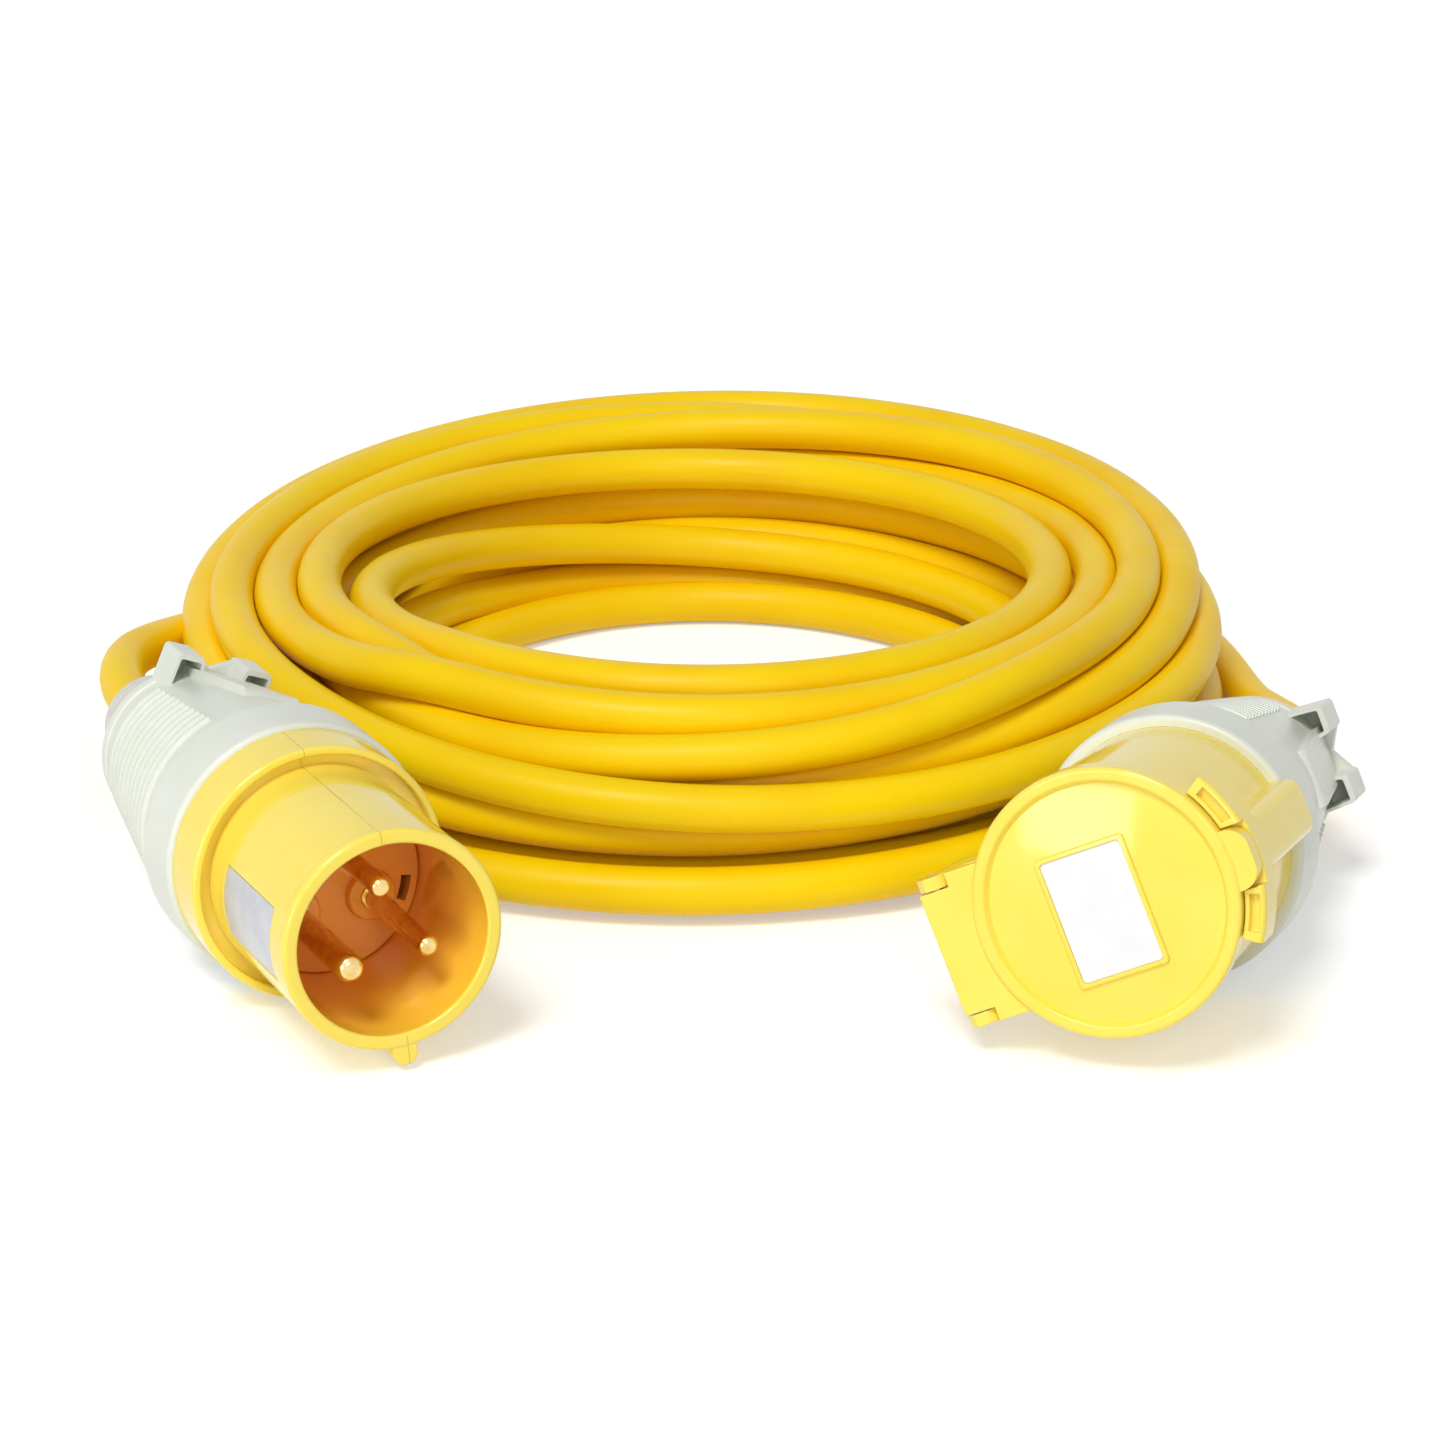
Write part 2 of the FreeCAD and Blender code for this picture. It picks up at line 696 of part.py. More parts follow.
def hinge_ears():
    """Two ears that carry the hinge pin, with the web between them."""
    lid_clear = lid_plate_back + 0.7 - lid_gap
    shoulder = hinge_shoulder_z - lid_gap
    foot = body_radius * 0.72
    rim_z = lid_radius - 2
    corners = [(-hinge_web_back, foot), (-0.2, foot), (-0.2, rim_z), (lid_clear, rim_z + 2),
               (lid_clear, shoulder), (hinge_x, hinge_z), (-hinge_web_back, hinge_z - 3, 3)]
    ears = []
    for side in (-1, 1):
        near = hinge_half_width - hinge_ear_width
        left, right = sorted((side * near, side * hinge_half_width))
        plate = side_plate(corners, left, right)
        ears.append(plate.fuse(hinge_eye(left, right)))
    web_front = -hinge_web_back + hinge_web_thickness
    web = side_plate([(-hinge_web_back, foot), (web_front, foot), (web_front, hinge_z - 3.6),
                      (-hinge_web_back, hinge_z - 3.6)], -hinge_half_width, hinge_half_width)
    pin_hole = Part.makeCylinder(hinge_pin_radius + glue_gap, 2 * hinge_half_width,
                                 Vector(hinge_x, -hinge_half_width, hinge_z), Vector(0, 1, 0))
    return ears[0].fuse([ears[1], web]).cut(pin_hole)


def catch_collar():
    """Collar round the keyway with two open pockets and a gap for the lid's nose."""
    sweep = 2 * collar_half_angle
    start = key_angle - collar_half_angle
    collar = turned([(-collar_back, body_radius - 1), (-collar_back, collar_radius, collar_round),
                     (collar_front, collar_radius, collar_round), (collar_front, lid_radius + side_gap),
                     (-0.1, lid_radius + side_gap), (-0.1, body_radius - 1)], sweep, start)
    first, last = pocket_angles
    for pocket_start in (key_angle + first, key_angle - last):
        collar = collar.cut(ring(pocket_floor, collar_front, pocket_inner_radius, pocket_outer_radius,
                                 last - first, pocket_start))
    gap_half = nose_half_width + side_gap
    gap = block(-0.1, collar_front, -gap_half, gap_half, lid_radius - 4, collar_radius + 1)
    return collar.cut(swung(gap, key_angle))


def connector_body():
    """Front body: socket barrel, keyway in its bulge, catch collar, hinge ears and spigot."""
    spigot_x = connector_ring_x - spigot_length
    lip = body_radius - lip_step
    seat = -(socket_depth + carrier_flange_thickness)
    barrel = turned([(0, socket_bore, 0.5), (0, lip, 0.4), (-lip_length, lip), (-lip_length, body_radius, 0.5),
                     (connector_ring_x, body_radius), (connector_ring_x, spigot_radius),
                     (spigot_x, spigot_radius, 0.8), (spigot_x, spigot_inner), (seat, spigot_inner),
                     (seat, socket_bore)])
    root = body_radius - 2
    bulge = prism([(-bulge_half_width - 0.8, root), (bulge_half_width + 0.8, root),
                   (bulge_half_width, bulge_tip_radius, bulge_round),
                   (-bulge_half_width, bulge_tip_radius, bulge_round)],
                  connector_ring_x, -bulge_front)
    outside = swung(bulge, key_angle).fuse([catch_collar(), hinge_ears()])
    outside = outside.cut(rod(connector_ring_x - 1, 1, body_radius - wall_bite))
    way_half = key_half_width + keyway_gap
    keyway = block(-socket_depth, 1, -way_half, way_half, 0, key_tip_radius + keyway_gap)
    return barrel.fuse(outside).cut(swung(keyway, key_angle))


def contact_carrier():
    """Moulded insert with a counterbored entry hole for each pin."""
    front = -contact_carrier_recess
    seat = -(socket_depth + carrier_flange_thickness)
    flange = socket_bore - 2 * slip_gap
    body = turned([(front, 0), (front, contact_carrier_radius, 1), (-socket_depth, contact_carrier_radius),
                   (-socket_depth, flange), (seat, flange), (seat, 0)])
    body = body.fuse(barriers(seat))
    for name, angle in connector_contact_angles.items():
        radius = contact_radii[name]
        entry = rod(seat - 1, front + 1, radius + pin_entry_gap)
        boss_room = rod(front - boss_height - mating_stop_gap, front + 1, radius + boss_wall + slip_gap * 5)
        sleeve = rod(seat - 1, contact_front(), radius + socket_gap + socket_wall + glue_gap)
        block_room = rod(seat - barrier_length, seat, block_radii[name] + slip_gap)
        for tool in (entry, boss_room, sleeve, block_room):
            body = body.cut(set_on_circle(tool, angle))
    for angle in barrier_angles:
        y, z = on_circle(contact_circle_radius + 2, angle)
        body = body.cut(rod(-socket_depth + 2, front + 1, lightening_hole_radius, y, z))
    return body


def contact_front():
    """Plane where the sleeves start, behind the bosses' room and the front wall."""
    return -(contact_carrier_recess + boss_height + mating_stop_gap + carrier_front_wall)


def socket_contact(name):
    """Slit brass sleeve with its terminal block."""
    radius = contact_radii[name] + socket_gap
    outer = radius + socket_wall
    block_front = -(socket_depth + carrier_flange_thickness)
    front = contact_front() - glue_gap
    depth = shroud_reach + groove_depth + 1
    sleeve = turned([(front, radius, 0.5), (front, outer, 0.3), (block_front - 1, outer), (block_front - 1, 0),
                     (-depth, 0), (-depth, radius)])
    slit = block(front - socket_slit_length, front + 1, -socket_slit_width / 2, socket_slit_width / 2,
                 -outer, outer)
    sleeve = sleeve.cut(slit)
    return set_on_circle(sleeve.fuse(contact_terminal(block_front, block_radii[name])),
                         connector_contact_angles[name])


def framed_block(inset, back, front):
    """Rounded block on the lid, this far inside the outline of the label frame."""
    middle_y, middle_z = frame_centre
    half_y = frame_width / 2 - inset
    half_z = frame_height / 2 - inset
    corners = [(middle_y + side_y * half_y, middle_z + side_z * half_z, frame_round)
               for side_y, side_z in ((-1, -1), (1, -1), (1, 1), (-1, 1))]
    return prism(corners, back, front)


def connector_lid():
    """Lid drawn closed: dished plate, rim, label frame, nose, hinge plate and barrel."""
    disc = turned([(lid_plate_back, 0), (lid_plate_back, lid_skirt_inner), (lid_gap, lid_skirt_inner),
                   (lid_gap, lid_radius, 0.3), (lid_rim_front, lid_radius, 1.3),
                   (lid_rim_front, lid_rim_inner + 1.3, 0.6), (lid_plate_front, lid_rim_inner),
                   (lid_plate_front, 0)])
    sides = [framed_block(inset, lid_plate_front - 0.2, lid_plate_front + frame_rise)
             for inset in (0, frame_wall)]
    frame = sides[0].cut(sides[1])
    nose = prism([(-nose_half_width, lid_rim_inner), (nose_half_width, lid_rim_inner),
                  (nose_half_width, nose_tip_radius, nose_round),
                  (-nose_half_width, nose_tip_radius, nose_round)],
                 lid_gap, lid_rim_front - 0.9)
    inside = turned([(0, 0), (0, lid_skirt_inner), (lid_plate_back, lid_skirt_inner),
                     (lid_plate_back, lid_rim_inner), (lid_rim_front, lid_rim_inner + 1), (lid_rim_front, 0)])
    nose = swung(nose, key_angle).cut(inside)
    plate_front = hinge_x + hinge_barrel_radius
    plate_back = plate_front - hinge_plate_thickness
    foot = lid_rim_inner * 0.86
    plate = prism([(-hinge_half_width, foot), (hinge_half_width, foot), (hinge_half_width, hinge_shoulder_z),
                   (hinge_barrel_half, hinge_shoulder_z), (hinge_barrel_half, hinge_z),
                   (-hinge_barrel_half, hinge_z), (-hinge_barrel_half, hinge_shoulder_z),
                   (-hinge_half_width, hinge_shoulder_z)], plate_back, plate_front)
    plate = plate.cut(turned([(0, 0), (0, lid_skirt_inner + 1), (lid_plate_front - 0.5, lid_skirt_inner + 1),
                              (lid_plate_front - 0.5, lid_rim_inner + 0.5),
                              (lid_rim_front, lid_rim_inner + 0.5), (lid_rim_front, 0)]))
    barrel_low = hinge_z - hinge_barrel_radius
    barrel_top = hinge_z + hinge_barrel_radius
    barrel_back = hinge_x - hinge_barrel_radius
    barrel = side_plate([(barrel_back, barrel_low, 4), (plate_front, barrel_low), (plate_front, barrel_top, 0.8),
                         (barrel_back, barrel_top, 4)], -hinge_barrel_half, hinge_barrel_half)
    window_half = spring_half_width + lid_gap
    window_front = hinge_x + spring_outer_radius() + lid_gap
    window = block(hinge_x - hinge_barrel_radius, window_front, -window_half, window_half,
                   hinge_z - hinge_barrel_radius, hinge_z + hinge_barrel_radius)
    pin_bore = Part.makeCylinder(hinge_pin_radius + hinge_running_gap, 2 * hinge_barrel_half,
                                 Vector(hinge_x, -hinge_barrel_half, hinge_z), Vector(0, 1, 0))
    lid = disc.fuse([frame, nose, plate, barrel])
    return lid.cut(window).cut(pin_bore)


def lid_label():
    """Plate inside the frame on the lid."""
    return framed_block(frame_wall + slip_gap, lid_plate_front, lid_plate_front + lid_label_thickness)


def lid_seal():
    """Soft ring under the lid that closes on the mouth of the body."""
    return turned([(lid_gap, lid_seal_inner, 0.6), (lid_gap, lid_skirt_inner - slip_gap, 0.6),
                   (lid_plate_back, lid_skirt_inner - slip_gap), (lid_plate_back, lid_seal_inner)])


def hinge_pin():
    return Part.makeCylinder(hinge_pin_radius, 2 * hinge_half_width,
                             Vector(hinge_x, -hinge_half_width, hinge_z), Vector(0, 1, 0))


def spring_outer_radius():
    return spring_inner_radius + 2 * spring_wire_radius


def lid_spring():
    """Torsion spring, drawn as rings on a sleeve; its long leg rests on the web between the ears."""
    mean = spring_inner_radius + spring_wire_radius
    pitch = 2 * (spring_half_width - spring_wire_radius) / (spring_turns - 1)
    corners = [(spring_half_width, spring_inner_radius), (-spring_half_width, spring_inner_radius)]
    for index in range(spring_turns):
        near = -spring_half_width + index * pitch
        far = near + 2 * spring_wire_radius
        corners += [(near, mean), (near + spring_edge, spring_outer_radius()),
                    (far - spring_edge, spring_outer_radius()), (far, mean)]
    coil = turned(corners)
    coil.rotate(Vector(0, 0, 0), Vector(0, 0, 1), 90)
    coil.translate(Vector(hinge_x, 0, hinge_z))
    leg_length = hinge_x + hinge_web_back - hinge_web_thickness
    leg = Part.makeCylinder(spring_wire_radius, leg_length,
                            Vector(hinge_x - leg_length, -spring_half_width + spring_wire_radius, hinge_z - mean),
                            Vector(1, 0, 0))
    return coil.fuse(leg)


def connector_pieces():
    block_front = -(socket_depth + carrier_flange_thickness)
    pieces = {
        "connector_body": connector_body(),
        "connector_contact_carrier": contact_carrier(),
        "connector_terminal_screws": terminal_screws(block_front, connector_contact_angles),
        "connector_lid": connector_lid(),
        "connector_label": lid_label(),
        "connector_lid_seal": lid_seal(),
        "connector_hinge_pin": hinge_pin(),
        "connector_lid_spring": lid_spring(),
    }
    for name, angle in connector_contact_angles.items():
        pieces["connector_" + name + "_contact"] = socket_contact(name)
        pieces["connector_" + name + "_core"] = core_wire(block_front, connector_ring_x - sheath_reach, angle,
                                                          "connector_" + name + "_core")
    pieces.update(rear_set("connector", connector_ring_x, connector_housing_turn))
    return pieces


# Cord

def strand_place(position):
    """Outward distance and height of the cable at a position counted in quarter turns from its start."""
    sides = [side for turn in coil_turns for side in turn]
    first = int(position)
    share = position - first
    last = len(sides) - 1
    before, here, ahead, beyond = [sides[min(max(first + step, 0), last)] for step in (-1, 0, 1, 2)]
    place = []
    for axis in (0, 1):
        leave = (ahead[axis] - before[axis]) * turn_sway
        arrive = (beyond[axis] - here[axis]) * turn_sway
        place.append((2 * share ** 3 - 3 * share ** 2 + 1) * here[axis]
                     + (share ** 3 - 2 * share ** 2 + share) * leave
                     + (3 * share ** 2 - 2 * share ** 3) * ahead[axis]
                     + (share ** 3 - share ** 2) * arrive)
    return place[0], max(place[1], cable_radius)


def coil_section(share):
    """Outline round every turn of the pile, at one place round the coil, counted clockwise from its front."""
    strands = [strand_place(4 * (turn + share)) for turn in range(len(coil_turns))
               if coil_first_turn <= turn + share <= coil_last_turn]
    step = 2 * math.pi / coil_faces
    reaches = []
    for index in range(coil_faces):
        across = math.cos(index * step)
        up = math.sin(index * step)
        reach = max(out * across + height * up for out, height in strands) + cable_radius + coil_margin
        reaches.append(0.0 if 4 * index == 3 * coil_faces else reach)
    angle = math.radians(270 - 360 * share)
    spots = []
    for index, reach in enumerate(reaches):
        following = reaches[(index + 1) % coil_faces]
        along = (following - reach * math.cos(step)) / math.sin(step)
        out = reach * math.cos(index * step) - along * math.sin(index * step)
        height = reach * math.sin(index * step) + along * math.cos(index * step)
        spots.append(Vector(coil_centre[0] + (coil_half_width + out) * math.cos(angle),
                            coil_centre[1] + (coil_half_depth + out) * math.sin(angle), height))
    return Part.makePolygon(spots + spots[:1])


def cord_coil():
    """Outer shape of the coiled turns."""
    sections = [coil_section(index / coil_stations) for index in range(coil_stations)]
    return Part.makeLoft(sections, True, True, True)


def cord_pieces(plug_place, connector_place):
    """Coil, and the two tails, which leave their gland nuts straight."""
    pieces = {"cord_coil": cord_coil()}
    for name, place, ring_x, points in (("plug_tail", plug_place, plug_ring_x, plug_tail_points),
                                        ("connector_tail", connector_place, connector_ring_x,
                                         connector_tail_points)):
        nut_face = ring_x - nut_end
        start = [tuple(place.multVec(Vector(x, 0, 0))) for x in (nut_face, nut_face - cord_exit_run)]
        pieces[name] = tube_along(start + points, cable_radius, name)
    return pieces


def main():
    plug_place = Placement(Vector(*plug_mouth, ring_radius), Rotation(plug_yaw, 0, plug_roll))
    connector_place = Placement(Vector(*connector_mouth, connector_height),
                                Rotation(connector_yaw, -connector_pitch, connector_roll))
    pieces = {}
    for place, group in ((plug_place, plug_pieces()), (connector_place, connector_pieces())):
        for name, shape in group.items():
            shape.transformShape(place.toMatrix())
            pieces[name] = shape
    pieces.update(cord_pieces(plug_place, connector_place))
    for name, shape in pieces.items():
        shape.exportStep("parts/" + name + ".step")


main()
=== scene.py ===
import math

import bmesh
import bpy
import numpy as np
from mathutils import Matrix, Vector


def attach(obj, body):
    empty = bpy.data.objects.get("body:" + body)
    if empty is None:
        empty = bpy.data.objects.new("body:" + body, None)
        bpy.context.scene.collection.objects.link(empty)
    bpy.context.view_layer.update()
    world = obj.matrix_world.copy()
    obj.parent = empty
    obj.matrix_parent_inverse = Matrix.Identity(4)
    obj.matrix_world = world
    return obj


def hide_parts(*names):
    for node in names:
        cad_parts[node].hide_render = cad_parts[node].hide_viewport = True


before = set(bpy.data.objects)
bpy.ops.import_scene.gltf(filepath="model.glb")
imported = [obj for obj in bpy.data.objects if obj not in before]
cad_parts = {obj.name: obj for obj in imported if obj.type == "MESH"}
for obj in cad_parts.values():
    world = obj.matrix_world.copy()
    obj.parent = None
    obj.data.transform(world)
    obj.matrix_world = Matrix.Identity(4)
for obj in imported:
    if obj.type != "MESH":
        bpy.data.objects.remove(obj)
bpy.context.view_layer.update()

bl_info = {
    "name": "Shore power cord",
    "version": (1, 0, 0),
    "blender": (4, 5, 0),
    "location": "View3D > Sidebar > Cord set",
    "description": "Cable, finishes and studio for a coiled 32 A cord set with plug and connector",
    "category": "Object",
}

# Sizes are in metres unless a comment says millimetres or pixels.

MM = 0.001

# Plug: the middle of its mouth, the way it faces, and the way square to the plane that its mould parts in
PLUG_MOUTH = Vector((-0.0909, -0.09105, 0.0394))
PLUG_AXIS = Vector((0.42262, -0.90631, 0.0))
PLUG_PARTING_SIDE = Vector((-0.9013, -0.4203, -0.1045))
SHROUD_BORE_RADIUS = 0.028
SHROUD_DEPTH = 0.052

# Painted bounce light and shade inside the shroud, a warmer yellow that turns orange deeper in: how far past
# the bore it is full and then gone, how far below the mouth it starts and is full, and from how deep it turns
# to orange
PAINTED_BOUNCE_WALL_FADE = (0.2 * MM, 0.6 * MM)
PAINTED_BOUNCE_MOUTH_FADE = (0.2 * MM, 1.5 * MM)
PAINTED_BOUNCE_DEEPENS_FROM = 4 * MM

# Parting line: how high it stands, where its sides start and end, and how far past the bore it starts and is
# full
PARTING_HEIGHT = 0.2 * MM
PARTING_SIDE = (0.1 * MM, 0.3 * MM)
PARTING_START = (0.6 * MM, 1.0 * MM)

# Connector: the middle of its mouth, the way it faces, and the slight dome of its lid
CONNECTOR_MOUTH = Vector((0.1062, -0.08195, 0.04846))
CONNECTOR_AXIS = Vector((-0.33982, -0.93365, 0.1132))
LID_DOME_RADIUS = 0.0335
LID_DOME_HEIGHT = 0.0034

# Rounded edges: samples taken at each, and the grey mouldings' radius as a share of the yellow ones'
EDGE_SAMPLES = 8
GREY_EDGE_SHARE = 0.6

# Stripes on the earth core: the distance from one to the next, and the length of a wave at a scale of 1
STRIPE_PITCH = 2.856 * MM
WAVE_AT_SCALE_ONE = 2 * math.pi / 20

# Sockets of a node that mixes colours: the colour at 0, the colour at 1 and the mixed colour
MIX_LOW = 6
MIX_HIGH = 7
MIXED = 2

# Cable route, in millimetres: from the plug's gland to the coil, and from the coil to the connector's gland
PLUG_RUN = [
    (-178.8, 97.5, 39.4), (-186.4, 113.8, 39.4), (-192.0, 133.0, 39.8), (-194.0, 151.0, 39.6),
    (-193.0, 168.0, 38.5), (-189.0, 184.0, 36.5), (-182.0, 199.0, 34.5), (-173.5, 214.0, 32.5),
    (-164.5, 230.0, 31.0),
]
CONNECTOR_RUN = [
    (175.0, 205.0, 10.0), (179.5, 188.0, 11.5), (183.0, 171.0, 14.0), (184.5, 153.0, 17.5),
    (183.0, 134.5, 21.5), (178.2, 116.1, 24.5), (172.1, 99.2, 26.5),
]

# Coil, in millimetres: the line that every turn keeps to, and where each turn passes at the front, left, back
# and right. A pass is (how far outside that line, how high), and the turns run clockwise from above.
COIL_CENTRE = (-7.9, 200.55)
COIL_HALF_WIDTH = 139.0
COIL_HALF_DEPTH = 156.5
COIL_PASSES = [
    ((0, 0), (14, 29), (36, 47), (27, 41)),
    ((12, 29), (15, 51), (33, 63), (8, 43)),
    ((0, 19), (26, 43), (48, 63), (18, 55)),
    ((-11, 33), (-5, 34), (21, 46), (-10, 57)),
    ((-12, 51), (1, 48), (14, 60), (2, 57)),
    ((1, 41), (-18, 35), (11, 35), (-12, 42)),
    ((-25, 44), (-10, 56), (-6, 49), (-26, 56)),
    ((-28, 59), (-31, 51), (-20, 21), (-21, 22)),
    ((-54, 8), (-28, 8), (-28, 7), (-28, 7)),
    ((-45, 20), (-20, 20), (-13, 9), (-14, 8)),
    ((-39, 7), (-13, 8), (-4, 28), (-6, 20)),
    ((-33, 29), (-5, 20), (2, 8), (1, 8)),
    ((-24, 7), (2, 8), (16, 10), (8, 20)),
    ((-20, 21), (9, 20), (24, 22), (15, 8)),
    ((-9, 7), (16, 8), (31, 8), (26, 20)),
    ((16, 7), (36, 19), (50, 12), (41, 10)),
]

# The way from the coil's middle to its front, and how straight a turn goes on through a pass
COIL_FRONT_DEGREES = 270
PASS_EASE = 0.35

# Where the coil starts and ends, in turns, and in how many steps a turn is laid
COIL_START = 0.31
COIL_END = 15.733
STEPS_PER_TURN = 48

# Settling: rounds in all, rounds at the end that only push, how much a round evens a step out with the steps
# next to it and with those after them, how much it goes back to the plan, and the distance between two turns,
# in millimetres, under which a push gets weaker
SETTLE_ROUNDS = 90
SETTLE_FREE_ROUNDS = 6
SETTLE_NEAR = 0.3
SETTLE_FAR = 0.2
SETTLE_BACK = 0.03
SETTLE_LEAST = 0.2

# Camera: its focal length is in pixels of an image of that width, and its sensor in millimetres
CAMERA_PLACE = (-0.00088, -1.31845, 0.5168)
CAMERA_DOWN = math.radians(18.65)
CAMERA_FOCUS_PIXELS = 4800
CAMERA_REACH = 30
IMAGE_PIXELS = 1445
SENSOR_WIDTH = 36.0

# Lamps: where each stands, what it is turned to, and how wide and high it is
KEY_PLACE = (-0.35, -0.95, 1.4)
KEY_AIM = (0, 0, 0)
WINDOW_PLACE = (-0.85, -1.15, 0.25)
WINDOW_AIM = (0.05, -0.05, 0.04)
WINDOW_SIZE = (0.6, 0.4)
FILL_PLACE = (0.25, -1.5, 0.75)
FILL_AIM = (0, 0, 0.04)
FILL_SIZE = 0.5

# Floor: from its middle to its edge, and how far it lies under the object so that the two don't flicker
FLOOR_REACH = 6.0
FLOOR_DROP = 0.2 * MM


def linear(hex_value):
    """Linear red, green, blue and alpha of an sRGB hex value."""
    parts = [int(hex_value[place:place + 2], 16) / 255 for place in (1, 3, 5)]
    return tuple(p / 12.92 if p <= 0.04045 else ((p + 0.055) / 1.055) ** 2.4 for p in parts) + (1.0,)


# Settings that a user would change

class CableSettings(bpy.types.PropertyGroup):
    diameter: bpy.props.FloatProperty(
        name="Diameter", description="Outer diameter of the sheath", default=0.0145, unit="LENGTH")
    slack: bpy.props.FloatProperty(
        name="Slack", description="Space that the turns keep, in diameters", default=1.007)
    colour: bpy.props.FloatVectorProperty(
        name="Sheath", description="Colour of the sheath", subtype="COLOR", size=4,
        default=linear("#FFD800"))
    shade: bpy.props.FloatVectorProperty(
        name="Sheath, deep", description="Deeper colour of the sheath where it is handled", subtype="COLOR",
        size=4, default=linear("#FCCE00"))


class MouldingSettings(bpy.types.PropertyGroup):
    yellow: bpy.props.FloatVectorProperty(
        name="Yellow", description="Colour of the plug's and connector's fronts", subtype="COLOR", size=4,
        default=linear("#FFE75C"))
    # Painted bounce light and shade: the orange that stands for light bounced round and shade deep inside the
    # shroud
    orange: bpy.props.FloatVectorProperty(
        name="Inside", description="Colour deep inside the shroud", subtype="COLOR", size=4,
        default=linear("#FFB446"))
    grey: bpy.props.FloatVectorProperty(
        name="Grey", description="Colour of the rear housings", subtype="COLOR", size=4,
        default=linear("#E6E9DE"))
    edge: bpy.props.FloatProperty(
        name="Edge", description="Rounding of the moulded edges", default=0.0005, unit="LENGTH")


class StudioSettings(bpy.types.PropertyGroup):
    sky: bpy.props.FloatProperty(
        name="Sky", description="Strength of the even light from all round", default=0.3)
    sun: bpy.props.FloatProperty(
        name="Key light", description="Strength of the wide light from above, left of the camera",
        default=1.6)
    softness: bpy.props.FloatProperty(
        name="Softness", description="Width of the key light in the sky", default=0.35, unit="ROTATION")
    window: bpy.props.FloatProperty(
        name="Window", description="Power of the soft box on the left, which shows on glossy plastic",
        default=4.0, unit="POWER")
    fill: bpy.props.FloatProperty(
        name="Fill", description="Power of the soft box beside the camera", default=3.0, unit="POWER")
    lift: bpy.props.FloatProperty(
        name="Paper lift", description="Extra white that the camera sees on the paper", default=0.36)
    floor: bpy.props.FloatVectorProperty(
        name="Floor", description="Colour of the floor", subtype="COLOR", size=4, default=linear("#F6F6F6"))


# Material helpers

def add_node(tree, kind, inputs=None, **settings):
    """Add a node. An input is a value or another node's output, by socket name or number."""
    node = tree.nodes.new(kind)
    for name, value in settings.items():
        setattr(node, name, value)
    for name, value in (inputs or {}).items():
        if isinstance(value, bpy.types.NodeSocket):
            tree.links.new(value, node.inputs[name])
        else:
            node.inputs[name].default_value = value
    return node


def new_material(name):
    """An empty node material, with its tree."""
    material = bpy.data.materials.new(name)
    material.use_nodes = True
    material.node_tree.nodes.clear()
    return material, material.node_tree


def finish_material(tree, inputs):
    """Give a material its shader, with what goes into it."""
    shader = add_node(tree, "ShaderNodeBsdfPrincipled", inputs)
    add_node(tree, "ShaderNodeOutputMaterial", {"Surface": shader.outputs["BSDF"]})


def grain(tree, size, detail=2.0, roughness=0.5):
    """Noise with features of about the given size, in Object coordinates."""
    place = add_node(tree, "ShaderNodeTexCoord").outputs["Object"]
    noise = add_node(tree, "ShaderNodeTexNoise", {
        "Vector": place, "Scale": 1 / size, "Detail": detail, "Roughness": roughness})
    return noise.outputs["Fac"]


def patches(tree, pattern, noise_range, value_range=(0.0, 1.0)):
    """The noise of a grain pattern, taken from its own range to a range of values and held at its ends."""
    return add_node(tree, "ShaderNodeMapRange", {
        "Value": grain(tree, *pattern), "From Min": noise_range[0], "From Max": noise_range[1],
        "To Min": value_range[0], "To Max": value_range[1]}).outputs["Result"]


def mottled(tree, pattern, noise_range, low, high):
    """Two colours in soft patches of a grain pattern."""
    return add_node(tree, "ShaderNodeMix", {
        "Factor": patches(tree, pattern, noise_range), MIX_LOW: low, MIX_HIGH: high},
        data_type="RGBA").outputs[MIXED]


def uneven(tree, pattern, depth, surface=None):
    """Normals with bumps of a grain pattern of a given depth, on plain normals or on those given."""
    inputs = {"Height": grain(tree, *pattern), "Distance": depth}
    if surface is not None:
        inputs["Normal"] = surface
    return add_node(tree, "ShaderNodeBump", inputs).outputs["Normal"]


def from_axis(tree, mouth, axis):
    """Vector from the middle of a mouth, and distance from the axis through it."""
    place = add_node(tree, "ShaderNodeTexCoord").outputs["Object"]
    from_mouth = add_node(tree, "ShaderNodeVectorMath", {0: place, 1: mouth}, operation="SUBTRACT")
    across = add_node(tree, "ShaderNodeVectorMath", {0: from_mouth.outputs["Vector"], 1: axis},
                      operation="CROSS_PRODUCT")
    out = add_node(tree, "ShaderNodeVectorMath", {0: across.outputs["Vector"]}, operation="LENGTH")
    return from_mouth.outputs["Vector"], out.outputs["Value"]


